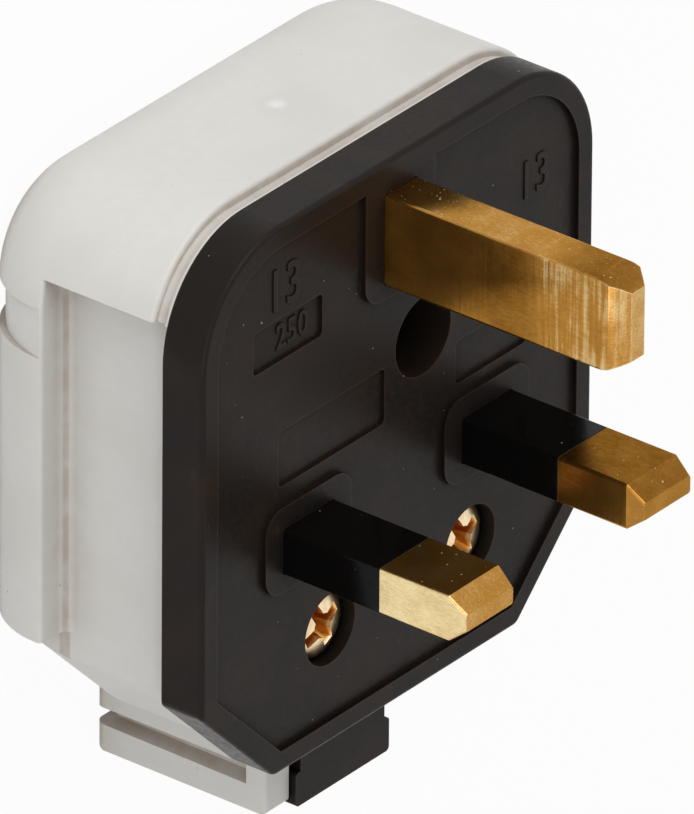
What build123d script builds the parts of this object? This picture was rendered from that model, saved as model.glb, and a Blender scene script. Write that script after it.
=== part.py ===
from build123d import *
import os

os.makedirs("parts", exist_ok=True)

# The plug lies on the back of its cover with the pins up. X runs from the live to the neutral
# side, Y towards the earth pin, Z up along the pins. The origin is under the middle of the
# line through the live and neutral pins, on the surface that the plug lies on.

# Body, seen from the pins
BODY_WIDTH = 48.6
TOP_Y = 29.1
BOTTOM_Y = -19.6
BODY_DEPTH = 24.0
TOP_CORNER_R = 9.6
FOOT_CHAMFER = 9.1
FOOT_CORNER_R = 1.0

# Base: the black moulding that carries the pins
BASE_THICK = 4.0
FACE_EDGE_R = 0.4
RIM_WIDTH = 1.9
PANEL_DEPTH = 0.45
LIP_DEPTH = 2.0
LIP_WALL = 1.2

# Pins, to the sizes of the 13 A standard
PIN_PITCH = 22.23
EARTH_Y = 22.23
BLADE_WIDTH = 6.35
BLADE_THICK = 4.0
BLADE_OUT = 17.75
BLADE_TIP_LENGTH = 1.6
BLADE_TIP_WIDTH = 5.8
BLADE_TIP_THICK = 1.5
SLEEVE_OUT = 9.4
SLEEVE_WALL = 0.8
EARTH_WIDTH = 4.0
EARTH_HEIGHT = 8.0
EARTH_OUT = 23.2
EARTH_TIP_LENGTH = 1.4
EARTH_TIP_WIDTH = 1.6
EARTH_TIP_HEIGHT = 6.0
EARTH_ROUND_LENGTH = 3.0
EARTH_ROUND_R = 5.8
PIN_EDGE_R = 0.25

# Pads left standing round the pins on the pin face
PAD_SIDE = 2.15
PAD_ABOVE = 2.0
PAD_BELOW = 1.6
EARTH_PAD_SIDE = 2.3
EARTH_PAD_BELOW = 1.3
PAD_CORNER_R = 2.0

# Three sunk plates on the pin face: middle X, middle Y, width, height
PLATES = ((-13.35, 18.7, 8.5, 3.7), (-7.85, 8.05, 13.1, 4.9), (12.0, 7.0, 8.8, 3.8))
PLATE_DEPTH = 0.3
PLATE_CORNER_R = 0.4

# Cover: the pale rubber shell
COVER_WALL = 2.5
BACK_WALL = 3.0
CAP_PROUD = 0.45
CAP_CORNER_R = 9.9
CAP_FOOT_SET_BACK = 1.2
CAP_EDGE_R = 0.4
SEAM_LIP = 1.3
SEAM_STEP = 0.4
SEAM_RIM = 0.3
SEAM_RIM_STEP = 0.1
BACK_EDGE_R = 7.4
HOLLOW_CORNER_R = 6.0
HOLLOW_EDGE_R = 3.0
GRIP_DEPTH = 3.0
GRIP_TOP_Y = 22.6
GRIP_CORNER_R = 1.0
FLANGE_THICK = 8.0
FLANGE_END_Y = -9.5
FLANGE_EDGE_R = 0.35
BAND_TOP_Y = 20.1
BAND_BOTTOM_Y = 15.8
BAND_EDGE_R = 8.6

# Tail that the cord comes in by
CORD_X = 0.9
CORD_HOLE_R = 4.2
CORD_HOLE_WALL = 0.8
TAIL_WIDTH = 15.4
TAIL_END_Y = -29.1
TAIL_SET_BACK = 6.9
TAIL_EDGE_R = 1.0
TAIL_FRONT_R = 0.4
SLOT_Y = -26.0
SLOT_SET_BACK = 8.8
SLOT_DEPTH = 1.3
SLOT_FRONT_HEIGHT = 1.7
SLOT_BACK_HEIGHT = 1.5
SLOT_TAPER = 16

# Tongue of the base that closes the front of the tail
TONGUE_X = 1.25
TONGUE_WIDTH = 11.7
TONGUE_END_Y = -29.55
TONGUE_PROUD = 0.6
TONGUE_THICK = 2.2
TONGUE_SHOULDER_Y = -26.5
TONGUE_SHOULDER = 0.6
TONGUE_CORNER_R = 0.4

# Cover screw, deep in a well between the pins
COVER_SCREW_X = 3.5
COVER_SCREW_Y = 11.3
COVER_SCREW_R = 1.95
COVER_HEAD_R = 3.2
COVER_HEAD_THICK = 2.4
WELL_R = 3.45
WELL_DEPTH = 10.4
WELL_WALL = 1.8
WELL_FLOOR = 2.0
WASHER_R = 3.3
WASHER_THICK = 0.6
INSERT_R = 3.4
INSERT_LENGTH = 6.6
BOSS_WALL = 2.1
SCREW_END = 0.5

# Cord clamp and its two screws
CLAMP_Y = -9.8
CLAMP_PITCH = 17.5
CLAMP_WIDTH = 7.6
CLAMP_THICK = 3.0
CLAMP_MOUTH = 10.0
CLAMP_MOUTH_DEPTH = 1.0
CLAMP_SCREW_R = 1.7
CLAMP_HEAD_R = 2.85
CLAMP_HEAD_THICK = 2.2
CLAMP_HEAD_SUNK = 0.65
CLAMP_HOLE_R = 3.1
CLAMP_POST_LENGTH = 8.5
CLAMP_POST_WALL = 2.2
CLAMP_NUT_WIDTH = 6.0
CLAMP_NUT_THICK = 2.0
RIB_THICK = 1.2
RIB_HEIGHT = 1.6
RIB_COUNT = 3

# Terminals
BLOCK_DEPTH = 9.5
EARTH_BLOCK_WIDTH = 7.2
EARTH_BLOCK_HEIGHT = 7.8
NEUTRAL_BLOCK_WIDTH = 7.4
NEUTRAL_BLOCK_HEIGHT = 9.0
LIVE_FOOT_HEIGHT = 5.1
WIRE_HOLE_R = 1.6
WIRE_HOLE_DROP = 4.5
TERMINAL_SCREW_R = 1.5
TERMINAL_HEAD_R = 2.2
TERMINAL_HEAD_THICK = 1.6
CRADLE_WALL = 1.2
CRADLE_DEPTH = 6.0

# Cartridge fuse, to the sizes of its standard, with its clips and the live terminal
FUSE_X = -14.2
FUSE_END_Y = -3.2
FUSE_DROP = 7.4
FUSE_LENGTH = 25.4
FUSE_R = 3.175
FUSE_BODY_R = 2.85
FUSE_BORE_R = 1.9
FUSE_CAP_LENGTH = 6.3
FUSE_CAP_END = 0.4
CLIP_THICK = 0.6
CLIP_WIDTH = 5.0
CLIP_MOUTH = 4.2
RIVET_R = 1.0
RIVET_HEAD_R = 1.4
RIVET_HEAD = 0.4
LIVE_TERMINAL_WIDTH = 4.6
LIVE_TERMINAL_HEIGHT = 8.4
LIVE_TERMINAL_DEPTH = 6.3
LIVE_TERMINAL_GAP = 0.4

# Driving slots of the screws
SLOT_CUT = 0.8
SLOT_CUT_DEPTH = 0.9

# Clearances
SLIP = 0.05
LOOSE = 0.15
SEAT_GAP = 0.1

# Levels and places that follow from the sizes above
FACE_Z = BODY_DEPTH
PANEL_Z = FACE_Z - PANEL_DEPTH
JOIN_Z = FACE_Z - BASE_THICK
SEAM_Z = JOIN_Z - SEAM_LIP
HALF_WIDTH = BODY_WIDTH / 2
FOOT_REACH = HALF_WIDTH - BOTTOM_Y - FOOT_CHAMFER
CAP_FOOT_REACH = FOOT_REACH - CAP_FOOT_SET_BACK * 2 ** 0.5
GRIP_X = HALF_WIDTH - GRIP_DEPTH
FOOT_INSIDE_Y = BOTTOM_Y + COVER_WALL
TAIL_FRONT_Z = FACE_Z - TAIL_SET_BACK
TONGUE_FRONT_Z = TAIL_FRONT_Z + TONGUE_PROUD
TONGUE_BACK_Z = TONGUE_FRONT_Z - TONGUE_THICK
TONGUE_NECK = TONGUE_WIDTH - 2 * TONGUE_SHOULDER
NOTCH_Z = TONGUE_BACK_Z - SEAT_GAP
CORD_HOLE_Z = NOTCH_Z - CORD_HOLE_WALL - CORD_HOLE_R
LIVE_X = -PIN_PITCH / 2
NEUTRAL_X = PIN_PITCH / 2
NECK_WIDTH = BLADE_WIDTH - 2 * SLEEVE_WALL
NECK_THICK = BLADE_THICK - 2 * SLEEVE_WALL
SLEEVE_END_Z = FACE_Z + SLEEVE_OUT
WELL_SEAT_Z = FACE_Z - WELL_DEPTH
BOSS_TOP_Z = WELL_SEAT_Z - WELL_FLOOR - SEAT_GAP
INSERT_Z = BOSS_TOP_Z - INSERT_LENGTH
POST_END_Z = JOIN_Z - CLAMP_POST_LENGTH
CLAMP_BACK_Z = POST_END_Z - CLAMP_THICK
CLAMP_NUT_Z = CLAMP_BACK_Z - CLAMP_NUT_THICK
CLAMP_SEAT_Z = PANEL_Z - CLAMP_HEAD_SUNK - CLAMP_HEAD_THICK
CLAMP_XS = (CORD_X - CLAMP_PITCH / 2, CORD_X + CLAMP_PITCH / 2)
BLOCK_BACK_Z = JOIN_Z - BLOCK_DEPTH
FUSE_Z = JOIN_Z - FUSE_DROP
CLIP_R = FUSE_R + SLIP
CLIP_PLATE_Z = FUSE_Z + CLIP_R
CLIP_TOP_Z = CLIP_PLATE_Z + CLIP_THICK
LOW_CAP_Y = FUSE_END_Y + FUSE_CAP_LENGTH / 2
HIGH_CAP_Y = FUSE_END_Y + FUSE_LENGTH - FUSE_CAP_LENGTH / 2
LIVE_TERMINAL_LOW_X = FUSE_X + CLIP_R + CLIP_THICK + LIVE_TERMINAL_GAP
LIVE_TERMINAL_X = LIVE_TERMINAL_LOW_X + LIVE_TERMINAL_WIDTH / 2
LIVE_TERMINAL_Y = HIGH_CAP_Y + CLIP_WIDTH / 2 - LIVE_TERMINAL_HEIGHT / 2
LIVE_TERMINAL_BACK_Z = CLIP_PLATE_Z - LIVE_TERMINAL_DEPTH
LIVE_RIVET_X = LIVE_X + NEUTRAL_BLOCK_WIDTH / 2 - RIVET_HEAD_R - 0.2


def plug_outline(side, top, foot, corner_r, foot_reach, foot_r=0.0):
    """Outline seen from the pins: round top corners and a foot cut off at 45 degrees."""
    cut = side - foot - foot_reach
    with BuildSketch() as outline:
        with BuildLine():
            Polyline(
                (-side, top), (side, top), (side, foot + cut), (side - cut, foot),
                (cut - side, foot), (-side, foot + cut), close=True,
            )
        make_face()
        fillet(outline.vertices().group_by(Axis.Y)[-1], corner_r)
        if foot_r > 0:
            fillet(outline.vertices().filter_by(lambda v: v.Y < foot + cut + 0.01), foot_r)
    return outline.sketch


def body_outline(grow=0.0, foot_r=0.0):
    """Outline of the plug's body, grown or shrunk all round."""
    return plug_outline(
        HALF_WIDTH + grow, TOP_Y + grow, BOTTOM_Y - grow, TOP_CORNER_R + grow,
        FOOT_REACH + grow * 2 ** 0.5, foot_r,
    )


def hollow_outline(shrink=0.0):
    """Outline of the room inside the cover, which the lip of the base drops into."""
    wall = COVER_WALL + shrink
    return plug_outline(
        GRIP_X - wall, TOP_Y - wall, BOTTOM_Y + wall, HOLLOW_CORNER_R - shrink,
        CAP_FOOT_REACH - wall * 2 ** 0.5,
    )


def rounded_body(edge_r, foot_reach):
    """The cap's outline raised from the back of the cover, with the back edges rounded."""
    with BuildPart() as form:
        with BuildSketch():
            add(plug_outline(HALF_WIDTH, TOP_Y + CAP_PROUD, BOTTOM_Y, CAP_CORNER_R, foot_reach))
        extrude(amount=SEAM_Z)
        fillet(form.faces().sort_by(Axis.Z)[0].edges(), edge_r)
    return form.part


def write_step(shape, name):
    """Label a finished piece and write it to its own file."""
    shape.label = name
    export_step(shape, f"parts/{name}.step")


# Base
with BuildPart() as base:
    with BuildSketch(Plane.XY.offset(JOIN_Z)):
        add(body_outline(foot_r=FOOT_CORNER_R))
    extrude(amount=BASE_THICK)
    fillet(base.faces().sort_by(Axis.Z)[-1].outer_wire().edges(), FACE_EDGE_R)

    # Shallow panel inside the rim, with the pads left standing
    with BuildSketch(Plane.XY.offset(PANEL_Z)):
        add(body_outline(-RIM_WIDTH))
        with Locations((LIVE_X, (PAD_ABOVE - PAD_BELOW) / 2), (NEUTRAL_X, (PAD_ABOVE - PAD_BELOW) / 2)):
            RectangleRounded(
                BLADE_WIDTH + 2 * PAD_SIDE, BLADE_THICK + PAD_ABOVE + PAD_BELOW, PAD_CORNER_R,
                mode=Mode.SUBTRACT,
            )
        with Locations((0, EARTH_Y - EARTH_HEIGHT / 2 - EARTH_PAD_BELOW)):
            RectangleRounded(
                EARTH_WIDTH + 2 * EARTH_PAD_SIDE, BODY_WIDTH, PAD_CORNER_R,
                align=(Align.CENTER, Align.MIN), mode=Mode.SUBTRACT,
            )
    extrude(amount=PANEL_DEPTH, mode=Mode.SUBTRACT)

    # Sunk plates, left bare
    with BuildSketch(Plane.XY.offset(PANEL_Z - PLATE_DEPTH)):
        for x, y, width, height in PLATES:
            with Locations((x, y)):
                RectangleRounded(width, height, PLATE_CORNER_R)
    extrude(amount=PLATE_DEPTH, mode=Mode.SUBTRACT)

    # Lip that drops into the cover
    with BuildSketch(Plane.XY.offset(JOIN_Z)):
        add(hollow_outline(LOOSE))
        add(hollow_outline(LOOSE + LIP_WALL), mode=Mode.SUBTRACT)
    extrude(amount=-LIP_DEPTH)

    # Well of the cover screw
    with BuildSketch(Plane.XY.offset(JOIN_Z)):
        with Locations((COVER_SCREW_X, COVER_SCREW_Y)):
            Circle(WELL_R + WELL_WALL)
    extrude(amount=WELL_SEAT_Z - WELL_FLOOR - JOIN_Z)

    # Posts of the cord clamp, and the ribs between them that the cord is pressed on
    with BuildSketch(Plane.XY.offset(JOIN_Z)):
        with Locations(*[(x, CLAMP_Y) for x in CLAMP_XS]):
            Circle(CLAMP_SCREW_R + CLAMP_POST_WALL)
    extrude(amount=-CLAMP_POST_LENGTH)
    with BuildSketch(Plane.XY.offset(JOIN_Z)):
        with Locations((CORD_X, CLAMP_Y)):
            with GridLocations(0, CLAMP_WIDTH / RIB_COUNT, 1, RIB_COUNT):
                Rectangle(CLAMP_PITCH - 2 * CLAMP_SCREW_R, RIB_THICK)
    extrude(amount=-RIB_HEIGHT)

    # Cradle ribs each side of the earth and neutral terminals
    with BuildSketch(Plane.XY.offset(JOIN_Z)):
        for x, y, width, height in (
            (0, EARTH_Y, EARTH_BLOCK_WIDTH, EARTH_BLOCK_HEIGHT),
            (NEUTRAL_X, 0, NEUTRAL_BLOCK_WIDTH, NEUTRAL_BLOCK_HEIGHT),
        ):
            with Locations((x, y)):
                with GridLocations(width + 2 * LOOSE + CRADLE_WALL, 0, 2, 1):
                    Rectangle(CRADLE_WALL, height - 2 * CRADLE_WALL)
    extrude(amount=-CRADLE_DEPTH)

    # Seat of the upper fuse clip
    with BuildSketch(Plane.XY.offset(JOIN_Z)):
        with Locations((FUSE_X, HIGH_CAP_Y)):
            Rectangle(
                LIVE_TERMINAL_X - FUSE_X, CLIP_WIDTH, align=(Align.MIN, Align.CENTER)
            )
    extrude(amount=CLIP_TOP_Z - JOIN_Z)

    # Root of the tongue, through the foot of the cover
    with BuildSketch(Plane.XY.offset(JOIN_Z)):
        with Locations((TONGUE_X, BOTTOM_Y)):
            Rectangle(
                TONGUE_NECK, COVER_WALL + LOOSE + LIP_WALL, align=(Align.CENTER, Align.MIN)
            )
    extrude(amount=TONGUE_BACK_Z - JOIN_Z)

    # Tongue
    with BuildSketch(Plane.XY.offset(TONGUE_BACK_Z)):
        with Locations((TONGUE_X, BOTTOM_Y + COVER_WALL)):
            Rectangle(
                TONGUE_NECK, BOTTOM_Y + COVER_WALL - TONGUE_END_Y - TONGUE_CORNER_R,
                align=(Align.CENTER, Align.MAX),
            )
        with Locations((TONGUE_X, TONGUE_END_Y)):
            RectangleRounded(
                TONGUE_WIDTH, TONGUE_SHOULDER_Y - TONGUE_END_Y, TONGUE_CORNER_R,
                align=(Align.CENTER, Align.MIN),
            )
    extrude(amount=TONGUE_THICK)

    # Pockets for the terminal blocks
    with BuildSketch(Plane.XY.offset(JOIN_Z)):
        with Locations((0, EARTH_Y)):
            Rectangle(EARTH_BLOCK_WIDTH + 2 * LOOSE, EARTH_BLOCK_HEIGHT + 2 * LOOSE)
        with Locations((NEUTRAL_X, 0)):
            Rectangle(NEUTRAL_BLOCK_WIDTH + 2 * LOOSE, NEUTRAL_BLOCK_HEIGHT + 2 * LOOSE)
    extrude(amount=-BLOCK_DEPTH, mode=Mode.SUBTRACT)

    # Slots for the pins
    with BuildSketch(Plane.XY.offset(JOIN_Z)):
        with Locations((LIVE_X, 0), (NEUTRAL_X, 0)):
            RectangleRounded(BLADE_WIDTH + 2 * SLIP, BLADE_THICK + 2 * SLIP, PIN_EDGE_R)
        with Locations((0, EARTH_Y)):
            RectangleRounded(EARTH_WIDTH + 2 * SLIP, EARTH_HEIGHT + 2 * SLIP, PIN_EDGE_R)
    extrude(amount=BASE_THICK, mode=Mode.SUBTRACT)

    # Screw holes
    with Locations((COVER_SCREW_X, COVER_SCREW_Y, FACE_Z)):
        CounterBoreHole(COVER_SCREW_R + LOOSE, WELL_R, WELL_DEPTH, BODY_DEPTH)
    with Locations(*[(x, CLAMP_Y, FACE_Z) for x in CLAMP_XS]):
        CounterBoreHole(CLAMP_SCREW_R + LOOSE, CLAMP_HOLE_R, FACE_Z - CLAMP_SEAT_Z, BODY_DEPTH)

write_step(base.part, "base")


# Tail of the cover, with a slot along each side that leaves two ribs
with BuildPart() as tail:
    with BuildSketch(Plane.XY):
        with Locations((0, TAIL_END_Y)):
            Rectangle(
                TAIL_WIDTH, BOTTOM_Y + BACK_EDGE_R - TAIL_END_Y, align=(Align.CENTER, Align.MIN)
            )
    extrude(amount=TAIL_FRONT_Z)
    fillet(tail.faces().sort_by(Axis.Z)[0].edges(), TAIL_EDGE_R)
    fillet(tail.faces().sort_by(Axis.Z)[-1].edges(), TAIL_FRONT_R)
    slot_front = SLOT_FRONT_HEIGHT / 2
    slot_back = SLOT_BACK_HEIGHT / 2
    with BuildSketch(Plane((-TAIL_WIDTH / 2, 0, 0), x_dir=(0, 1, 0), z_dir=(1, 0, 0))):
        with BuildLine():
            Polyline(
                (SLOT_Y - slot_front, FACE_Z - SLOT_SET_BACK),
                (SLOT_Y + slot_front, FACE_Z - SLOT_SET_BACK),
                (SLOT_Y + slot_back, -SLOT_DEPTH), (SLOT_Y - slot_back, -SLOT_DEPTH), close=True,
            )
        make_face()
    extrude(amount=SLOT_DEPTH, taper=SLOT_TAPER, mode=Mode.SUBTRACT)
    mirror(about=Plane.YZ, mode=Mode.INTERSECT)
    with BuildSketch(Plane.XY):
        with Locations((0, SLOT_Y)):
            Rectangle(TAIL_WIDTH + 2 * SLOT_DEPTH, SLOT_BACK_HEIGHT)
    extrude(amount=SLOT_DEPTH, taper=SLOT_TAPER, mode=Mode.SUBTRACT)

# Cover
shell = rounded_body(BACK_EDGE_R, CAP_FOOT_REACH)
flanges = rounded_body(BACK_EDGE_R, HALF_WIDTH - FLANGE_END_Y + BACK_EDGE_R / 2)

with BuildPart() as band:
    with BuildSketch(Plane.XY):
        with Locations((0, (BAND_TOP_Y + BAND_BOTTOM_Y) / 2)):
            Rectangle(BODY_WIDTH + 2 * FLANGE_THICK, BAND_TOP_Y - BAND_BOTTOM_Y)
    extrude(amount=BAND_EDGE_R)
    add(shell - rounded_body(BAND_EDGE_R, CAP_FOOT_REACH), mode=Mode.INTERSECT)

with BuildPart() as cover:
    # The flanges end square, and below them the foot is cut off at 45 degrees
    add(flanges)
    with BuildSketch():
        with Locations((0, FLANGE_END_Y)):
            Rectangle(2 * BODY_WIDTH, BODY_WIDTH, align=(Align.CENTER, Align.MAX))
    extrude(amount=BODY_DEPTH, mode=Mode.SUBTRACT)
    add(shell)

    # Seam under the base: the cap's rounded edge, a groove and a thin rim
    fillet(cover.faces().sort_by(Axis.Z)[-1].edges(), CAP_EDGE_R)
    with BuildSketch(Plane.XY.offset(SEAM_Z)):
        add(body_outline(-SEAM_STEP))
    extrude(amount=SEAM_LIP)
    with BuildSketch(Plane.XY.offset(JOIN_Z)):
        add(body_outline(-SEAM_RIM_STEP))
    extrude(amount=-SEAM_RIM)

    # Finger grips: each side is cut back down to the flange, and all the way below its end
    for low_z, top_y, depth in (
        (FLANGE_THICK, GRIP_TOP_Y, BODY_DEPTH), (0, FLANGE_END_Y, FLANGE_THICK),
    ):
        with BuildSketch(Plane.XY.offset(low_z)):
            for side in (-1, 1):
                with Locations((side * (GRIP_X + GRIP_DEPTH), top_y)):
                    Rectangle(2 * GRIP_DEPTH, BODY_WIDTH + TOP_Y, align=(Align.CENTER, Align.MAX))
        extrude(amount=depth, mode=Mode.SUBTRACT)
    for edge_x, edge_r in ((GRIP_X, GRIP_CORNER_R), (HALF_WIDTH, FLANGE_EDGE_R)):
        flange_edges = cover.edges().filter_by(Axis.Y).filter_by(
            lambda e: abs(abs(e.center().X) - edge_x) < 0.01 and abs(e.center().Z - FLANGE_THICK) < 0.01
        )
        fillet(flange_edges, edge_r)

    add(band.part, mode=Mode.SUBTRACT)
    add(tail.part)

    # Room inside
    with BuildSketch(Plane.XY.offset(BACK_WALL)):
        add(hollow_outline())
    extrude(amount=BODY_DEPTH, mode=Mode.SUBTRACT)
    floor_edges = cover.faces().filter_by(Plane.XY).filter_by(
        lambda f: abs(f.center().Z - BACK_WALL) < 0.01
    ).edges()
    fillet(floor_edges, HOLLOW_EDGE_R)

    # Boss with its pocket for the threaded insert and room for the screw's end
    with BuildSketch(Plane.XY.offset(BACK_WALL)):
        with Locations((COVER_SCREW_X, COVER_SCREW_Y)):
            Circle(INSERT_R + BOSS_WALL)
    extrude(amount=BOSS_TOP_Z - BACK_WALL)
    with Locations((COVER_SCREW_X, COVER_SCREW_Y, BOSS_TOP_Z)):
        Hole(INSERT_R, INSERT_LENGTH)

    # Cord hole, the notch for the tongue and the gap for its root
    with BuildSketch(Plane((CORD_X, FOOT_INSIDE_Y, CORD_HOLE_Z), z_dir=(0, -1, 0))):
        Circle(CORD_HOLE_R)
    extrude(amount=FOOT_INSIDE_Y - TAIL_END_Y, mode=Mode.SUBTRACT)
    with BuildSketch(Plane.XY.offset(NOTCH_Z)):
        with Locations((TONGUE_X - TONGUE_WIDTH / 2 - LOOSE, BOTTOM_Y)):
            Rectangle(TAIL_WIDTH, -TONGUE_END_Y, align=(Align.MIN, Align.MAX))
        with Locations((TONGUE_X, FOOT_INSIDE_Y)):
            Rectangle(TONGUE_NECK + 2 * LOOSE, COVER_WALL, align=(Align.CENTER, Align.MAX))
    extrude(amount=BODY_DEPTH, mode=Mode.SUBTRACT)

write_step(cover.part, "cover")


def terminal_drillings(x, y, back_z, wire_along):
    """The wire hole of a terminal block, and the hole of the screw that clamps the wire."""
    with BuildPart() as drillings:
        with BuildSketch(Plane((x, y, back_z + WIRE_HOLE_DROP), z_dir=wire_along)):
            Circle(WIRE_HOLE_R)
        extrude(amount=NEUTRAL_BLOCK_HEIGHT, both=True)
        with BuildSketch(Plane((x, y, back_z))):
            Circle(TERMINAL_SCREW_R + SLIP)
        extrude(amount=WIRE_HOLE_DROP)
    return drillings.part


def short_blade(x):
    """Short pin at x: a waist in the base and sleeve, the bare blade and its bevelled tip."""
    bevel_z = FACE_Z + BLADE_OUT - BLADE_TIP_LENGTH
    with BuildPart() as blade:
        with BuildSketch(Plane((x, 0, JOIN_Z))):
            RectangleRounded(NECK_WIDTH, NECK_THICK, PIN_EDGE_R)
        extrude(amount=SLEEVE_END_Z - JOIN_Z)
        with BuildSketch(Plane((x, 0, SLEEVE_END_Z))):
            RectangleRounded(BLADE_WIDTH, BLADE_THICK, PIN_EDGE_R)
        extrude(amount=bevel_z - SLEEVE_END_Z)
        with BuildSketch(Plane((x, 0, bevel_z))):
            RectangleRounded(BLADE_WIDTH, BLADE_THICK, PIN_EDGE_R)
        with BuildSketch(Plane((x, 0, FACE_Z + BLADE_OUT))):
            RectangleRounded(BLADE_TIP_WIDTH, BLADE_TIP_THICK, PIN_EDGE_R)
        loft(ruled=True)
    return blade.part


earth_drillings = terminal_drillings(0, EARTH_Y, BLOCK_BACK_Z, (1, 0, 0))
neutral_drillings = terminal_drillings(NEUTRAL_X, 0, BLOCK_BACK_Z, (0, 1, 0))
live_drillings = terminal_drillings(
    LIVE_TERMINAL_X, LIVE_TERMINAL_Y, LIVE_TERMINAL_BACK_Z, (0, 1, 0)
)
neutral_blade = short_blade(NEUTRAL_X)
live_blade = short_blade(LIVE_X)

# Earth pin: long blade, bevelled tip and terminal block in one
with BuildPart() as earth_pin:
    tip_z = FACE_Z + EARTH_OUT
    bevel_z = tip_z - EARTH_TIP_LENGTH
    round_z = tip_z - EARTH_ROUND_LENGTH
    with BuildSketch(Plane((0, EARTH_Y, JOIN_Z))):
        RectangleRounded(EARTH_WIDTH, EARTH_HEIGHT, PIN_EDGE_R)
    extrude(amount=bevel_z - JOIN_Z)
    with BuildSketch(Plane((0, EARTH_Y, bevel_z))):
        RectangleRounded(EARTH_WIDTH, EARTH_HEIGHT, PIN_EDGE_R)
    with BuildSketch(Plane((0, EARTH_Y, tip_z))):
        RectangleRounded(EARTH_TIP_WIDTH, EARTH_HEIGHT, PIN_EDGE_R)
    loft(ruled=True)

    # Rounding of the tip's upper and lower edges
    with BuildSketch(Plane.YZ):
        for side in (-1, 1):
            outer_y = EARTH_Y + side * EARTH_HEIGHT / 2
            tip_y = EARTH_Y + side * EARTH_TIP_HEIGHT / 2
            beyond_y = outer_y + side * EARTH_ROUND_LENGTH
            with BuildLine():
                RadiusArc((outer_y, round_z), (tip_y, tip_z), -side * EARTH_ROUND_R)
                Polyline(
                    (tip_y, tip_z), (tip_y, tip_z + EARTH_TIP_LENGTH),
                    (beyond_y, tip_z + EARTH_TIP_LENGTH), (beyond_y, round_z), (outer_y, round_z),
                )
            make_face()
    extrude(amount=EARTH_WIDTH, both=True, mode=Mode.SUBTRACT)
    with BuildSketch(Plane((0, EARTH_Y, BLOCK_BACK_Z))):
        Rectangle(EARTH_BLOCK_WIDTH, EARTH_BLOCK_HEIGHT)
    extrude(amount=BLOCK_DEPTH)
    add(earth_drillings, mode=Mode.SUBTRACT)

write_step(earth_pin.part, "earth_pin")

# Neutral pin: blade and terminal block in one
with BuildPart() as neutral_pin:
    add(neutral_blade)
    with BuildSketch(Plane((NEUTRAL_X, 0, BLOCK_BACK_Z))):
        Rectangle(NEUTRAL_BLOCK_WIDTH, NEUTRAL_BLOCK_HEIGHT)
    extrude(amount=BLOCK_DEPTH)
    add(neutral_drillings, mode=Mode.SUBTRACT)

write_step(neutral_pin.part, "neutral_pin")

# Live pin: blade with a foot under the base, riveted to the lower fuse clip
with BuildPart() as live_pin:
    add(live_blade)
    with BuildSketch(Plane((LIVE_X, 0, CLIP_TOP_Z))):
        Rectangle(NEUTRAL_BLOCK_WIDTH, LIVE_FOOT_HEIGHT)
    extrude(amount=JOIN_Z - CLIP_TOP_Z)
    with BuildSketch(Plane((LIVE_RIVET_X, 0, CLIP_TOP_Z))):
        Circle(RIVET_R)
    extrude(amount=-CLIP_THICK)
    with BuildSketch(Plane((LIVE_RIVET_X, 0, CLIP_PLATE_Z))):
        Circle(RIVET_HEAD_R)
    extrude(amount=-RIVET_HEAD)

write_step(live_pin.part, "live_pin")

# Insulating sleeves
for name, x in (("live_pin_sleeve", LIVE_X), ("neutral_pin_sleeve", NEUTRAL_X)):
    with BuildPart() as sleeve:
        with BuildSketch(Plane((x, 0, JOIN_Z))):
            RectangleRounded(BLADE_WIDTH, BLADE_THICK, PIN_EDGE_R)
            RectangleRounded(NECK_WIDTH, NECK_THICK, PIN_EDGE_R, mode=Mode.SUBTRACT)
        extrude(amount=SLEEVE_END_Z - JOIN_Z)
    write_step(sleeve.part, name)

# Live terminal, held to the upper fuse clip
with BuildPart() as live_terminal:
    with BuildSketch(Plane((LIVE_TERMINAL_X, LIVE_TERMINAL_Y, LIVE_TERMINAL_BACK_Z))):
        Rectangle(LIVE_TERMINAL_WIDTH, LIVE_TERMINAL_HEIGHT)
    extrude(amount=LIVE_TERMINAL_DEPTH)
    add(live_drillings, mode=Mode.SUBTRACT)

write_step(live_terminal.part, "live_terminal")

# Terminal screws, with their slotted heads towards the back of the plug
for name, x, y, back_z in (
    ("earth_terminal_screw", 0, EARTH_Y, BLOCK_BACK_Z),
    ("neutral_terminal_screw", NEUTRAL_X, 0, BLOCK_BACK_Z),
    ("live_terminal_screw", LIVE_TERMINAL_X, LIVE_TERMINAL_Y, LIVE_TERMINAL_BACK_Z),
):
    with BuildPart() as terminal_screw:
        with BuildSketch(Plane((x, y, back_z))):
            Circle(TERMINAL_HEAD_R)
        extrude(amount=-TERMINAL_HEAD_THICK)
        with BuildSketch(Plane((x, y, back_z))):
            Circle(TERMINAL_SCREW_R)
        extrude(amount=WIRE_HOLE_DROP)
        with BuildSketch(Plane((x, y, back_z - TERMINAL_HEAD_THICK))):
            Rectangle(2 * TERMINAL_HEAD_R, SLOT_CUT)
        extrude(amount=SLOT_CUT_DEPTH, mode=Mode.SUBTRACT)
    write_step(terminal_screw.part, name)

# Cartridge fuse: ceramic tube and two pressed caps
with BuildPart() as fuse_tube:
    with BuildSketch(Plane((FUSE_X, FUSE_END_Y + FUSE_CAP_END, FUSE_Z), z_dir=(0, 1, 0))):
        Circle(FUSE_BODY_R)
        Circle(FUSE_BORE_R, mode=Mode.SUBTRACT)
    extrude(amount=FUSE_LENGTH - 2 * FUSE_CAP_END)

write_step(fuse_tube.part, "fuse_tube")

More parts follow.
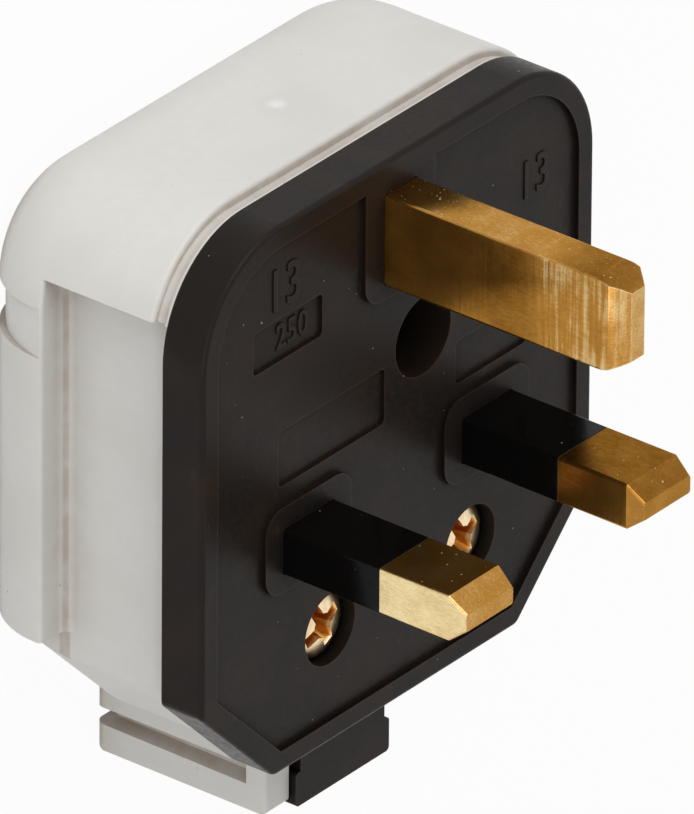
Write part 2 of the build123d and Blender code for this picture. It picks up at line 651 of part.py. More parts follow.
for name, end_y, inward in (
    ("fuse_cap_lower", FUSE_END_Y, 1), ("fuse_cap_upper", FUSE_END_Y + FUSE_LENGTH, -1),
):
    with BuildPart() as fuse_cap:
        with BuildSketch(Plane((FUSE_X, end_y, FUSE_Z), z_dir=(0, inward, 0))):
            Circle(FUSE_R)
        extrude(amount=FUSE_CAP_LENGTH)
        with BuildSketch(
            Plane((FUSE_X, end_y + inward * FUSE_CAP_END, FUSE_Z), z_dir=(0, inward, 0))
        ):
            Circle(FUSE_BODY_R + SLIP)
        extrude(amount=FUSE_CAP_LENGTH, mode=Mode.SUBTRACT)
    write_step(fuse_cap.part, name)

# Fuse clips: a spring strip bent round the cap, with a flat tab on top
for name, middle_y, tab_end_x, hole_r in (
    ("fuse_clip_lower", LOW_CAP_Y, LIVE_X + NEUTRAL_BLOCK_WIDTH / 2, RIVET_R + SLIP),
    ("fuse_clip_upper", HIGH_CAP_Y, LIVE_TERMINAL_X + LIVE_TERMINAL_WIDTH / 2, 0),
):
    with BuildPart() as fuse_clip:
        with BuildSketch(Plane((FUSE_X, middle_y - CLIP_WIDTH / 2, FUSE_Z), (1, 0, 0), (0, -1, 0))):
            Circle(CLIP_R + CLIP_THICK)
            with Locations((0, CLIP_R)):
                Rectangle(tab_end_x - FUSE_X, CLIP_THICK, align=(Align.MIN, Align.MIN))
            Circle(CLIP_R, mode=Mode.SUBTRACT)
            Rectangle(
                CLIP_MOUTH, CLIP_R + CLIP_THICK, align=(Align.CENTER, Align.MAX),
                mode=Mode.SUBTRACT,
            )
        extrude(amount=-CLIP_WIDTH)
        if hole_r > 0:
            with BuildSketch(Plane((LIVE_RIVET_X, 0, CLIP_PLATE_Z))):
                Circle(hole_r)
            extrude(amount=CLIP_THICK, mode=Mode.SUBTRACT)
    write_step(fuse_clip.part, name)

# Cover screw, its washer and the threaded insert in the cover
with BuildPart() as cover_screw:
    with BuildSketch(Plane((COVER_SCREW_X, COVER_SCREW_Y, WELL_SEAT_Z + WASHER_THICK))):
        Circle(COVER_HEAD_R)
    extrude(amount=COVER_HEAD_THICK)
    with BuildSketch(Plane((COVER_SCREW_X, COVER_SCREW_Y, INSERT_Z + SCREW_END))):
        Circle(COVER_SCREW_R)
    extrude(amount=WELL_SEAT_Z + WASHER_THICK - INSERT_Z - SCREW_END)
    head_top_z = WELL_SEAT_Z + WASHER_THICK + COVER_HEAD_THICK
    with BuildSketch(Plane((COVER_SCREW_X, COVER_SCREW_Y, head_top_z))):
        Rectangle(2 * COVER_HEAD_R, SLOT_CUT)
    extrude(amount=-SLOT_CUT_DEPTH, mode=Mode.SUBTRACT)

write_step(cover_screw.part, "cover_screw")

with BuildPart() as cover_screw_washer:
    with BuildSketch(Plane((COVER_SCREW_X, COVER_SCREW_Y, WELL_SEAT_Z))):
        Circle(WASHER_R)
        Circle(COVER_SCREW_R + LOOSE, mode=Mode.SUBTRACT)
    extrude(amount=WASHER_THICK)

write_step(cover_screw_washer.part, "cover_screw_washer")

with BuildPart() as cover_nut:
    with BuildSketch(Plane((COVER_SCREW_X, COVER_SCREW_Y, INSERT_Z))):
        Circle(INSERT_R - SLIP)
        Circle(COVER_SCREW_R + SLIP, mode=Mode.SUBTRACT)
    extrude(amount=INSERT_LENGTH)

write_step(cover_nut.part, "cover_nut")

# Cord clamp: a bar with a shallow mouth for the cord
with BuildPart() as cord_clamp:
    with BuildSketch(Plane((CORD_X, CLAMP_Y, CLAMP_BACK_Z))):
        SlotCenterToCenter(CLAMP_PITCH, CLAMP_WIDTH)
        with GridLocations(CLAMP_PITCH, 0, 2, 1):
            Circle(CLAMP_SCREW_R + LOOSE, mode=Mode.SUBTRACT)
    extrude(amount=CLAMP_THICK)
    with BuildSketch(Plane((CORD_X, CLAMP_Y, POST_END_Z))):
        with GridLocations(0, CLAMP_WIDTH / RIB_COUNT, 1, RIB_COUNT):
            Rectangle(CLAMP_MOUTH, RIB_THICK)
    extrude(amount=-CLAMP_MOUTH_DEPTH, mode=Mode.SUBTRACT)

write_step(cord_clamp.part, "cord_clamp")

# Clamp screws from the pin face, and the square nuts behind the bar
for side, x in zip(("left", "right"), CLAMP_XS):
    with BuildPart() as clamp_screw:
        with BuildSketch(Plane((x, CLAMP_Y, CLAMP_SEAT_Z))):
            Circle(CLAMP_HEAD_R)
        extrude(amount=CLAMP_HEAD_THICK)
        with BuildSketch(Plane((x, CLAMP_Y, CLAMP_NUT_Z - SCREW_END))):
            Circle(CLAMP_SCREW_R)
        extrude(amount=CLAMP_SEAT_Z - CLAMP_NUT_Z + SCREW_END)
        with BuildSketch(Plane((x, CLAMP_Y, CLAMP_SEAT_Z + CLAMP_HEAD_THICK))):
            Rectangle(CLAMP_HEAD_R, SLOT_CUT)
            Rectangle(SLOT_CUT, CLAMP_HEAD_R)
        extrude(amount=-SLOT_CUT_DEPTH, mode=Mode.SUBTRACT)
    write_step(clamp_screw.part, f"cord_clamp_screw_{side}")
    with BuildPart() as clamp_nut:
        with BuildSketch(Plane((x, CLAMP_Y, CLAMP_NUT_Z))):
            Rectangle(CLAMP_NUT_WIDTH, CLAMP_NUT_WIDTH)
            Circle(CLAMP_SCREW_R + SLIP, mode=Mode.SUBTRACT)
        extrude(amount=CLAMP_NUT_THICK)
    write_step(clamp_nut.part, f"cord_clamp_nut_{side}")
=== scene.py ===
"""Looks of a rewirable mains plug with a pale rubber cover, a black base and brass pins.

The file is laid out as a Blender add-on and is run as a script. Lengths are metres, in the frame
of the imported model: the plug lies on the back of its cover with the pins up.
"""

import math

import bmesh
import bpy
from bpy.props import FloatProperty, FloatVectorProperty, PointerProperty
from mathutils import Matrix, Vector


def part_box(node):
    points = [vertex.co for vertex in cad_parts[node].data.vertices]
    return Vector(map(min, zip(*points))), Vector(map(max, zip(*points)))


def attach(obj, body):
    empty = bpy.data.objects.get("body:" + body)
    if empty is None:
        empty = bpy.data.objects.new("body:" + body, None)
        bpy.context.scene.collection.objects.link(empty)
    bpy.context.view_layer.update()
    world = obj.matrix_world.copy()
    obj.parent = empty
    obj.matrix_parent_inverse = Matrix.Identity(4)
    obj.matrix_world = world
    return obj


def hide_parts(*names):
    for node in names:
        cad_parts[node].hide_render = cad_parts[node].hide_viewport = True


bl_info = {
    "name": "Rubber Mains Plug",
    "version": (1, 0, 0),
    "blender": (4, 5, 0),
    "location": "View3D > Sidebar > Plug",
    "description": "Finishes and small pieces of a rewirable rubber mains plug",
    "category": "Object",
}

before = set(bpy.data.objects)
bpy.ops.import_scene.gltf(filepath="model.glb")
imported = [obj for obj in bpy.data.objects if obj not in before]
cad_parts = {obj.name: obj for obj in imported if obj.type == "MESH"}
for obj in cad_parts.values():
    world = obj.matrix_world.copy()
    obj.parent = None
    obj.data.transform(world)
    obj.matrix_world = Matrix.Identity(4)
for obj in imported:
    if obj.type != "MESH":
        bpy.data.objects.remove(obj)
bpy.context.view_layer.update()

MM = 0.001
BODY = "root"

# The pin face, the panel sunk into it, the small plates sunk into the panel, and the join under it
FACE_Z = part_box("base")[1].z
PANEL_Z = FACE_Z - 0.45 * MM
PLATE_Z = PANEL_Z - 0.3 * MM
JOIN_Z = FACE_Z - 4.0 * MM

# The moulding mark on the cap, the inner corner of a finger grip, and where the cap ends over it
GATE_MARK = (-0.57 * MM, 29.55 * MM, 12.15 * MM)
GATE_RADIUS = 1.1 * MM
GATE_ROUGHNESS = 0.2
GRIP_CORNER = (21.3 * MM, 0.0, 8.0 * MM)
GRIP_TOP_Y = 22.6 * MM

# Tarnish of each pin with painted light and shade: how dull its sides, its top and its end are, from 0 for
# clean over 1 for tarnished to 2 for most tarnished, set face by face as painted light and shade; how
# much lighter its edges are painted as a highlight, or darker as painted shade where negative; and
# where lighter bands, a painted highlight, start
PIN_TARNISH_AND_LIGHT = {
    "earth": ((1.3, 0.97, 0.75), 1.15, FACE_Z + 13.2 * MM),
    "neutral": ((1.1, 1.85, 1.3), 0.3, None),
    "live": ((0.12, 0.95, 0.85), -0.6, None),
}

# How strongly painted shade tints the cover's join, inner corners and finger grips
SHADE_IN_JOIN = 0.6
SHADE_IN_CORNERS = 0.85
SHADE_IN_GRIPS = 0.75

# Colours that no setting holds
# Painted highlight on the moulding mark
GATE_HIGHLIGHT_COLOUR = (0.86, 0.85, 0.83, 1.0)
# Black of the painted shade in the base's corners
PAINTED_SHADE_BLACK = (0.0, 0.0, 0.0, 1.0)
WHITE = (1.0, 1.0, 1.0, 1.0)
BRASS_DUST = (0.80, 0.62, 0.34, 1.0)
BRASS_GLANCE = (1.0, 0.8, 0.55, 1.0)
SLEEVE_DUST = (0.6, 0.58, 0.55, 1.0)
# Brown for uneven plating, and for painted shade in the screw recesses
BROWN_PATCHES_AND_SHADE = (0.55, 0.27, 0.06, 1.0)
CERAMIC_CLEAN = (0.80, 0.78, 0.72, 1.0)
CERAMIC_SOILED = (0.68, 0.65, 0.58, 1.0)
CLAMP_BLACK = (0.02, 0.02, 0.02, 1.0)
CLAMP_WORN = (0.035, 0.033, 0.03, 1.0)
ROOM_COLOUR = (1.0, 0.99, 0.97, 1.0)
FLOOR_COLOUR = (0.86, 0.86, 0.86, 1.0)

# Plain figures on the pin face: name, text, share of the figure height, middle
FIGURES = (
    ("rating_figures_upper", "13", 1.1, (-13.9 * MM, 23.1 * MM, PANEL_Z)),
    ("rating_figures_side", "13", 1.0, (17.2 * MM, 19.4 * MM, PANEL_Z)),
    ("rating_figures_lower", "250", 0.66, (-12.6 * MM, 18.7 * MM, PLATE_Z)),
)

# The floor lies just under the plug, so that the plug's flat back doesn't share its plane
FLOOR_Z = -0.05 * MM
FLOOR_HALF = 4.0
FLOOR_WHITE_SHARE = 0.95
LIGHT_TARGET = (0.0, 0.0, 12 * MM)
KEY_PLACE = (-0.10, 0.62, 0.34)
KEY_SIZE = 0.6
FILL_PLACE = (-0.62, -0.05, 0.35)
FILL_SIZE = 0.5
SENSOR_WIDTH = 36.0


# Sizes and colours that a user would change

class PlugCoverSettings(bpy.types.PropertyGroup):
    """Finish of the pale rubber cover"""

    colour: FloatVectorProperty(
        name="Colour", description="Body colour of the pale rubber", subtype="COLOR",
        default=(0.75, 0.74, 0.71), min=0.0, max=1.0,
    )
    shade_colour: FloatVectorProperty(
        name="Handled colour", description="Colour of the faint handled patches", subtype="COLOR",
        default=(0.68, 0.665, 0.63), min=0.0, max=1.0,
    )
    # Painted shade: this warm colour darkens the grooves, the inner corners and the join
    painted_shade_colour: FloatVectorProperty(
        name="Grime colour", description="Warm tint in the grooves and along the join", subtype="COLOR",
        default=(0.38, 0.30, 0.24), min=0.0, max=1.0,
    )
    speck_colour: FloatVectorProperty(
        name="Speck colour", description="Colour of the dark specks in the rubber", subtype="COLOR",
        default=(0.20, 0.19, 0.17), min=0.0, max=1.0,
    )
    roughness: FloatProperty(
        name="Roughness", description="Roughness of the moulded skin", default=0.5, min=0.0, max=1.0,
    )


class PlugBaseSettings(bpy.types.PropertyGroup):
    """Finish of the black base and the figures moulded on it"""

    colour: FloatVectorProperty(
        name="Colour", description="Body colour of the black rubber", subtype="COLOR",
        default=(0.0135, 0.0105, 0.0090), min=0.0, max=1.0,
    )
    # Warm tint for faint patches, and along the edges, where it is partly rubbed wear and partly a painted
    # highlight
    warm_and_edge_highlight_colour: FloatVectorProperty(
        name="Edge colour", description="Warm tint where the edges are rubbed", subtype="COLOR",
        default=(0.085, 0.040, 0.022), min=0.0, max=1.0,
    )
    dust_colour: FloatVectorProperty(
        name="Dust colour", description="Colour of the dust specks", subtype="COLOR",
        default=(0.62, 0.58, 0.54), min=0.0, max=1.0,
    )
    roughness: FloatProperty(
        name="Roughness", description="Roughness of the moulded skin", default=0.36, min=0.0, max=1.0,
    )
    figure_height: FloatProperty(
        name="Figure height", description="Height of the plain figures moulded on the pin face",
        default=3.4 * MM, unit="LENGTH",
    )
    figure_relief: FloatProperty(
        name="Figure relief", description="How far the figures stand out of the face",
        default=0.16 * MM, unit="LENGTH",
    )


class PlugPinSettings(bpy.types.PropertyGroup):
    """Finish of the brass pins and their sleeves"""

    brass_colour: FloatVectorProperty(
        name="Brass colour", description="Colour of clean brass", subtype="COLOR",
        default=(0.88, 0.72, 0.39), min=0.0, max=1.0,
    )
    tarnish_colour: FloatVectorProperty(
        name="Tarnish colour", description="Colour of brass that has dulled", subtype="COLOR",
        default=(0.45, 0.215, 0.040), min=0.0, max=1.0,
    )
    # Deepest tarnish, reached mostly on faces painted darker as shade
    deep_colour: FloatVectorProperty(
        name="Deep tarnish colour", description="Colour of brass that has dulled most", subtype="COLOR",
        default=(0.165, 0.065, 0.008), min=0.0, max=1.0,
    )
    brass_roughness: FloatProperty(
        name="Brass roughness", description="Roughness of the machined brass", default=0.2,
        min=0.0, max=1.0,
    )
    edge_width: FloatProperty(
        name="Edge width", description="Width of the rubbed edge on pins and sleeves",
        default=0.16 * MM, unit="LENGTH",
    )
    sleeve_colour: FloatVectorProperty(
        name="Sleeve colour", description="Colour of the insulating sleeves", subtype="COLOR",
        default=(0.004, 0.0036, 0.0034), min=0.0, max=1.0,
    )
    sleeve_roughness: FloatProperty(
        name="Sleeve roughness", description="Roughness of the glossy sleeves", default=0.14,
        min=0.0, max=1.0,
    )


class PlugScrewSettings(bpy.types.PropertyGroup):
    """Cross-recessed screws"""

    plating_colour: FloatVectorProperty(
        name="Plating colour", description="Colour of the yellow plating", subtype="COLOR",
        default=(0.93, 0.76, 0.50), min=0.0, max=1.0,
    )
    recess_span: FloatProperty(
        name="Recess span", description="Length of the cross in a screw head, as a share of the head",
        default=0.8, min=0.3, max=0.95,
    )
    recess_width: FloatProperty(
        name="Recess width", description="Width of an arm of the cross", default=1.15 * MM,
        unit="LENGTH",
    )
    thread_pitch: FloatProperty(
        name="Thread pitch", description="Pitch of the screw threads", default=0.7 * MM,
        unit="LENGTH",
    )


class PlugStageSettings(bpy.types.PropertyGroup):
    """Camera and light"""

    azimuth: FloatProperty(
        name="Camera azimuth", description="Direction of the camera from the aim point, from +X",
        default=math.radians(144.17), subtype="ANGLE",
    )
    elevation: FloatProperty(
        name="Camera elevation", description="Height of the camera above the floor",
        default=math.radians(32.58), subtype="ANGLE",
    )
    roll: FloatProperty(
        name="Camera roll", description="Roll that puts the earth pin at the top of the picture",
        default=math.radians(111.68), subtype="ANGLE",
    )
    distance: FloatProperty(
        name="Camera distance", description="Distance from the aim point", default=2.1821,
        unit="LENGTH",
    )
    lens: FloatProperty(
        name="Lens", description="Focal length over a sensor 36 mm wide", default=1467.6,
        unit="CAMERA",
    )
    aim: FloatVectorProperty(
        name="Aim point", description="Point on the pin face that the camera looks at",
        default=(-6.523 * MM, 9.508 * MM, 24.0 * MM), subtype="XYZ", unit="LENGTH",
    )
    key_power: FloatProperty(
        name="Key power", description="Power of the soft light beyond the earth pin", default=2.6,
        unit="POWER",
    )
    fill_power: FloatProperty(
        name="Fill power", description="Power of the soft light on the live side", default=1.0,
        unit="POWER",
    )
    sky: FloatProperty(
        name="Sky", description="Brightness of the room round the plug", default=0.42, min=0.0,
    )


# Node helpers

class Graph:
    """Adds nodes to a tree and joins them."""

    def __init__(self, tree):
        self.tree = tree

    def node(self, kind, sockets=None, **settings):
        """Add a node, set its options and fill its inputs with values or other sockets."""
        made = self.tree.nodes.new(kind)
        for key, value in settings.items():
            setattr(made, key, value)
        for key, value in (sockets or {}).items():
            if isinstance(value, bpy.types.NodeSocket):
                self.tree.links.new(value, made.inputs[key])
            else:
                made.inputs[key].default_value = value
        return made

    def math(self, operation, first, second, clamp=False):
        """One arithmetic step."""
        sockets = {0: first, 1: second}
        return self.node("ShaderNodeMath", sockets, operation=operation, use_clamp=clamp).outputs[0]

    def times(self, first, second):
        """Product of two values."""
        return self.math("MULTIPLY", first, second)

    def plus(self, first, second):
        """Sum of two values."""
        return self.math("ADD", first, second)

    def most(self, *values):
        """Largest of several values."""
        result = values[0]
        for value in values[1:]:
            result = self.math("MAXIMUM", result, value)
        return result

    def ramp(self, value, low, high, to_low=0.0, to_high=1.0):
        """Map a value smoothly from one range to another."""
        return self.node(
            "ShaderNodeMapRange",
            {"Value": value, "From Min": low, "From Max": high, "To Min": to_low, "To Max": to_high},
            interpolation_type="SMOOTHSTEP",
        ).outputs["Result"]

    def between(self, mask, at_zero, at_one):
        """Turn a mask from 0 to 1 into values between two others."""
        return self.ramp(mask, 0.0, 1.0, at_zero, at_one)

    def mix(self, share, first, second):
        """Blend two colours."""
        made = self.tree.nodes.new("ShaderNodeMix")
        made.data_type = "RGBA"
        for index, value in zip((0, 6, 7), (share, first, second)):
            socket = made.inputs[index]
            if isinstance(value, bpy.types.NodeSocket):
                self.tree.links.new(value, socket)
            else:
                socket.default_value = value
        return made.outputs[2]


def rgba(colour):
    """A colour with its alpha."""
    return (*colour, 1.0)


class Finish(Graph):
    """A material with one main shader, patterned in the object's own coordinates."""

    def __init__(self, name, **shader):
        self.material = bpy.data.materials.new(name)
        self.material.use_nodes = True
        super().__init__(self.material.node_tree)
        self.tree.nodes.clear()
        self.shader = self.node("ShaderNodeBsdfPrincipled", shader)
        output = self.node("ShaderNodeOutputMaterial")
        self.tree.links.new(self.shader.outputs[0], output.inputs["Surface"])
        self.place = self.node("ShaderNodeTexCoord").outputs["Object"]
        self.bump = None

    def set(self, name, value):
        """Feed a pattern into an input of the shader."""
        self.tree.links.new(value, self.shader.inputs[name])

    def stretched(self, scale):
        """Coordinates scaled unevenly, for brushed and streaked patterns."""
        return self.node("ShaderNodeMapping", {"Vector": self.place, "Scale": scale}).outputs[0]

    def noise(self, size, detail, roughness, place=None):
        """Noise whose features are about as large as size."""
        sockets = {
            "Vector": place or self.place, "Scale": 1.0 / size, "Detail": detail,
            "Roughness": roughness,
        }
        return self.node("ShaderNodeTexNoise", sockets).outputs["Fac"]

    def specks(self, spacing, radius, share, offset=0.0):
        """Scattered round specks up to a radius: a share of the cells of a pattern hold one."""
        shifted = self.node(
            "ShaderNodeMapping", {"Vector": self.place, "Location": (offset, offset, offset)}
        ).outputs[0]
        cells = self.node("ShaderNodeTexVoronoi", {"Vector": shifted, "Scale": 1.0 / spacing})
        draw = self.node("ShaderNodeSeparateColor", {"Color": cells.outputs["Color"]})
        chosen = self.math("LESS_THAN", draw.outputs[0], share)
        largest = radius / spacing
        size = self.between(draw.outputs[1], 0.35 * largest, largest)
        inside = self.math("LESS_THAN", cells.outputs["Distance"], size)
        return self.times(chosen, inside)

    def relief(self, height, distance, strength):
        """Lay another layer of bump over those already there."""
        sockets = {"Height": height, "Distance": distance, "Strength": strength}
        if self.bump is not None:
            sockets["Normal"] = self.bump
        self.bump = self.node("ShaderNodeBump", sockets).outputs[0]
        self.tree.links.new(self.bump, self.shader.inputs["Normal"])

    def coordinate(self, axis):
        """Where a point lies along one axis."""
        return self.node("ShaderNodeSeparateXYZ", {0: self.place}).outputs[axis]

    def depth_below(self, height):
        """How far a point lies below a level."""
        return self.math("SUBTRACT", height, self.coordinate("Z"))

    def height_above(self, height):
        """How far a point lies above a level."""
        return self.math("SUBTRACT", self.coordinate("Z"), height)

    def near(self, point, radius):
        """Mask that is 1 at a point and fades out at a radius."""
        apart = self.node("ShaderNodeVectorMath", {0: self.place, 1: point}, operation="DISTANCE")
        return self.ramp(apart.outputs["Value"], radius, 0.0)

    def along_grip(self, inner, outer):
        """Mask that is 1 along the inner corner of both finger grips."""
        mirrored = self.node("ShaderNodeVectorMath", {0: self.place}, operation="ABSOLUTE").outputs[0]
        across = self.node(
            "ShaderNodeVectorMath", {0: mirrored, 1: (1.0, 0.0, 1.0)}, operation="MULTIPLY"
        )
        apart = self.node(
            "ShaderNodeVectorMath", {0: across.outputs[0], 1: GRIP_CORNER}, operation="DISTANCE"
        )
        fade = 0.1 * MM
        under_cap = self.ramp(self.coordinate("Y"), GRIP_TOP_Y + fade, GRIP_TOP_Y - fade)
        return self.times(self.ramp(apart.outputs["Value"], outer, inner), under_cap)

    def corners(self, distance):
        """Mask that is 1 deep in a groove or an inner corner."""
        sky_seen = self.node("ShaderNodeAmbientOcclusion", {"Distance": distance}, samples=4)
        return self.ramp(sky_seen.outputs["AO"], 0.95, 0.35)

    def along_edges(self, radius):
        """Mask that is 1 along sharp edges, from how far a rounded normal leaves the face's own."""
        rounded = self.node("ShaderNodeBevel", {"Radius": radius}, samples=4).outputs[0]
        own = self.node("ShaderNodeNewGeometry").outputs["Normal"]
        agree = self.node("ShaderNodeVectorMath", {0: rounded, 1: own}, operation="DOT_PRODUCT")
        return self.ramp(self.math("SUBTRACT", 1.0, agree.outputs["Value"]), 0.02, 0.25)


# Finishes

def cover_rubber(settings):
    """Pale moulded rubber: faint handled patches, warm painted shade in the grooves, specks and a gate mark
    with a painted highlight.
    """
    finish = Finish("cover_rubber", **{"Specular IOR Level": 0.4})
    patches = finish.ramp(finish.noise(9 * MM, detail=3.0, roughness=0.55), 0.38, 0.72)
    fine = finish.ramp(finish.noise(1.1 * MM, detail=4.0, roughness=0.6), 0.35, 0.7, to_high=0.5)
    handled = finish.times(finish.most(patches, fine), 0.6)
    colour = finish.mix(handled, rgba(settings.colour), rgba(settings.shade_colour))

    # Painted shade, warm and broken up, lies in the join with the base, in the inner corners and along the
    # finger grips
    below = finish.depth_below(JOIN_Z)
    starts = finish.ramp(below, 0.15 * MM, 0.35 * MM)
    fades = finish.ramp(below, 1.5 * MM, 0.5 * MM)
    join_shade = finish.times(finish.times(starts, fades), SHADE_IN_JOIN)
    corner_shade = finish.times(finish.corners(3.6 * MM), SHADE_IN_CORNERS)
    grip_shade = finish.times(finish.along_grip(0.42 * MM, 0.62 * MM), SHADE_IN_GRIPS)
    broken = finish.ramp(finish.noise(2.5 * MM, detail=3.0, roughness=0.6), 0.3, 0.7, to_low=0.6)
    painted_shade = finish.times(finish.most(join_shade, corner_shade, grip_shade), broken)
    colour = finish.mix(painted_shade, colour, rgba(settings.painted_shade_colour))

    specks = finish.specks(spacing=3.2 * MM, radius=0.17 * MM, share=0.22)
    small_specks = finish.specks(spacing=1.6 * MM, radius=0.10 * MM, share=0.25, offset=3 * MM)
    dark = finish.times(finish.most(specks, small_specks), 0.6)
    colour = finish.mix(dark, colour, rgba(settings.speck_colour))

    # The moulding mark on the cap is smoother and raised, and a little lighter as a painted highlight
    gate = finish.near(GATE_MARK, GATE_RADIUS)
    finish.set("Base Color", finish.mix(gate, colour, GATE_HIGHLIGHT_COLOUR))
    finish.set("Roughness", finish.between(gate, settings.roughness, GATE_ROUGHNESS))
    finish.relief(finish.noise(0.35 * MM, detail=3.0, roughness=0.6), distance=0.012 * MM, strength=0.5)
    finish.relief(finish.noise(7 * MM, detail=2.0, roughness=0.4), distance=0.12 * MM, strength=0.35)
    finish.relief(finish.plus(gate, specks), distance=0.12 * MM, strength=0.8)
    return finish.material


def base_rubber(settings):
    """Black moulded rubber: satin skin, warm edges that are partly rubbed wear and partly painted
    highlight, painted shade in the corners, and specks of dust.
    """
    finish = Finish("base_rubber", **{"Specular IOR Level": 0.1})
    tint = finish.ramp(finish.noise(6 * MM, detail=4.0, roughness=0.6), 0.4, 0.75, to_high=0.12)
    colour = finish.mix(tint, rgba(settings.colour), rgba(settings.warm_and_edge_highlight_colour))
    # Painted highlight along the edges in a warm tint, partly rubbed wear
    edges = finish.times(finish.along_edges(0.3 * MM), 0.7)
    colour = finish.mix(edges, colour, rgba(settings.warm_and_edge_highlight_colour))
    corners = finish.corners(2.4 * MM)
    # Painted shade: inner corners and grooves are darkened nearly to black
    colour = finish.mix(finish.times(corners, 0.95), colour, PAINTED_SHADE_BLACK)

    # Dust: specks of two sizes over a faint smear
    dust = finish.most(
        finish.specks(spacing=2.4 * MM, radius=0.13 * MM, share=0.2),
        finish.specks(spacing=1.0 * MM, radius=0.06 * MM, share=0.25, offset=5 * MM),
    )
    wiped = finish.noise(1.4 * MM, detail=5.0, roughness=0.7, place=finish.stretched((1.0, 0.35, 1.0)))
    smear = finish.ramp(wiped, 0.6, 0.8, to_high=0.03)
    dust = finish.plus(finish.times(dust, 0.6), smear)
    finish.set("Base Color", finish.mix(dust, colour, rgba(settings.dust_colour)))
    skin = finish.noise(0.5 * MM, detail=3.0, roughness=0.6)
    smooth = settings.roughness
    rough = finish.ramp(skin, 0.3, 0.7, to_low=smooth - 0.05, to_high=smooth + 0.08)
    matt_corners = finish.times(corners, 0.4)
    finish.set("Roughness", finish.math("ADD", rough, matt_corners, clamp=True))
    finish.relief(skin, distance=0.008 * MM, strength=0.5)
    finish.relief(finish.noise(4 * MM, detail=2.0, roughness=0.4), distance=0.03 * MM, strength=0.3)
    return finish.material


def pin_brass(name, settings, tarnish_and_shade, edge_light, bands_from):
    """Drawn brass with fine grain, as dull on each face as the three levels given say (sides, top, end).

    The levels are set face by face to stand in for the light and shade on each: painted light and
    shade over a real tarnish. The edge setting says how much lighter the edges are painted, as a
    painted highlight, or how much darker, as painted shade, where it is negative. Beyond the height
    bands_from the sides carry lighter bands, a painted highlight, unless it is None.
    """
    finish = Finish(name, **{"Metallic": 1.0, "Specular Tint": BRASS_GLANCE})
    normal = finish.node("ShaderNodeNewGeometry").outputs["Normal"]
    facing = finish.node(
        "ShaderNodeVectorMath", {0: normal, 1: normal}, operation="MULTIPLY"
    ).outputs[0]
    # Painted light and shade: each face takes its own level from its direction
    level = finish.node(
        "ShaderNodeVectorMath", {0: facing, 1: tarnish_and_shade}, operation="DOT_PRODUCT"
    ).outputs["Value"]
    blotches = finish.noise(2.4 * MM, detail=3.0, roughness=0.5)
    cloud = finish.ramp(blotches, 0.25, 0.75, to_low=-0.14, to_high=0.14)
    grain = finish.noise(0.16 * MM, detail=3.0, roughness=0.65, place=finish.stretched((1.0, 1.0, 0.3)))
    level = finish.plus(level, cloud)
    level = finish.plus(level, finish.ramp(grain, 0.35, 0.65, to_low=-0.1, to_high=0.1))
    lines = finish.noise(0.4 * MM, detail=3.0, roughness=0.65, place=finish.stretched((0.05, 0.03, 1.0)))
    ripple = finish.times(finish.ramp(lines, 0.3, 0.7), 0.15)
    if bands_from is not None:
        split = finish.node("ShaderNodeSeparateXYZ", {0: facing}).outputs
        above = finish.height_above(bands_from)

        # Painted shade: duller towards the tip, on the top and on the sides
        top_end = finish.ramp(above, 1.0 * MM, 6.0 * MM, to_high=0.75)
        level = finish.plus(level, finish.times(top_end, split["Y"]))
        outer_half = finish.ramp(above, -6.0 * MM, -1.0 * MM, to_high=0.4)
        level = finish.plus(level, finish.times(outer_half, split["X"]))

        # Bands on the sides painted lighter as a highlight, and a little rippled
        zone = finish.times(finish.ramp(above, 0.0, 3.0 * MM), split["X"])
        wander = finish.noise(0.8 * MM, detail=3.0, roughness=0.6, place=finish.stretched((1.0, 0.12, 0.5)))
        streaks = finish.plus(finish.times(lines, 0.6), finish.times(wander, 0.4))
        bands = finish.ramp(streaks, 0.38, 0.6, to_low=-1.12, to_high=-0.5)
        level = finish.plus(level, finish.times(bands, zone))
        ripple = finish.plus(ripple, finish.times(finish.times(lines, zone), 0.8))
    dust = finish.most(
        finish.specks(spacing=1.4 * MM, radius=0.10 * MM, share=0.35),
        finish.specks(spacing=0.55 * MM, radius=0.06 * MM, share=0.3, offset=4 * MM),
        finish.times(finish.specks(spacing=0.32 * MM, radius=0.05 * MM, share=0.3, offset=7 * MM), 0.6),
    )
    edges = finish.along_edges(0.22 * MM)
    # Painted highlight along the edges, or painted shade where the edge setting is negative
    level = finish.math("SUBTRACT", level, finish.times(edges, edge_light))

    # The level goes from clean to tarnished up to 1, and on to the deepest tarnish up to 2
    deep = finish.math("SUBTRACT", level, 1.0, clamp=True)
    level = finish.math("MINIMUM", level, 1.0, clamp=True)
    colour = finish.mix(level, rgba(settings.brass_colour), rgba(settings.tarnish_colour))
    colour = finish.mix(deep, colour, rgba(settings.deep_colour))
    finish.set("Base Color", finish.mix(finish.times(dust, 0.7), colour, BRASS_DUST))
    film = finish.times(finish.math("SUBTRACT", level, deep), 0.07)
    bare = finish.math("SUBTRACT", 1.0, film)
    finish.set("Metallic", finish.math("SUBTRACT", bare, finish.times(dust, 0.6), clamp=True))
    rough = finish.times(finish.plus(dust, grain), 0.1)
    rough = finish.plus(rough, finish.times(edges, 0.3))
    finish.set("Roughness", finish.plus(rough, settings.brass_roughness - 0.05))
    finish.relief(grain, distance=0.006 * MM, strength=0.5)
    finish.relief(ripple, distance=0.02 * MM, strength=0.5)
    finish.relief(dust, distance=0.03 * MM, strength=0.7)
    return finish.material


